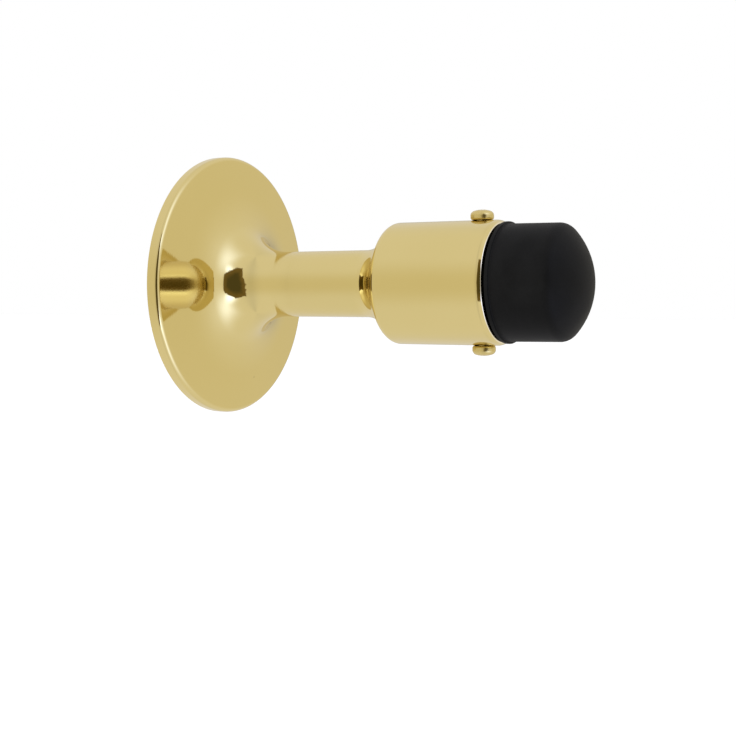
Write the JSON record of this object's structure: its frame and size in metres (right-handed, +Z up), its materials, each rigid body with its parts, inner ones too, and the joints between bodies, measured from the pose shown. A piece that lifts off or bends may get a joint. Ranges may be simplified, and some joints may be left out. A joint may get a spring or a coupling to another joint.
{
  "type": "cup door stop",
  "caption": "Wall door stop: a round base flares into a stem and a cup that holds a domed rubber bumper with small screws.",
  "frame": {"origin": "centre of the base's back face, at the mouth of the stud socket, on the wall", "axes": "+X out of the wall along the stem, towards the door; +Z up, along the two retaining screws"},
  "size_m": [0.0953, 0.0636, 0.0636],
  "materials": {
    "polished_brass": "polished and lacquered, mirror bright",
    "black_rubber": "moulded, smooth matt black",
    "screw_brass": "bright turned brass"
  },
  "bodies": {
    "root": {"stop_body": "polished_brass", "rubber_bumper": "black_rubber", "upper_screw": "screw_brass", "lower_screw": "screw_brass"}
  },
  "joints": []
}
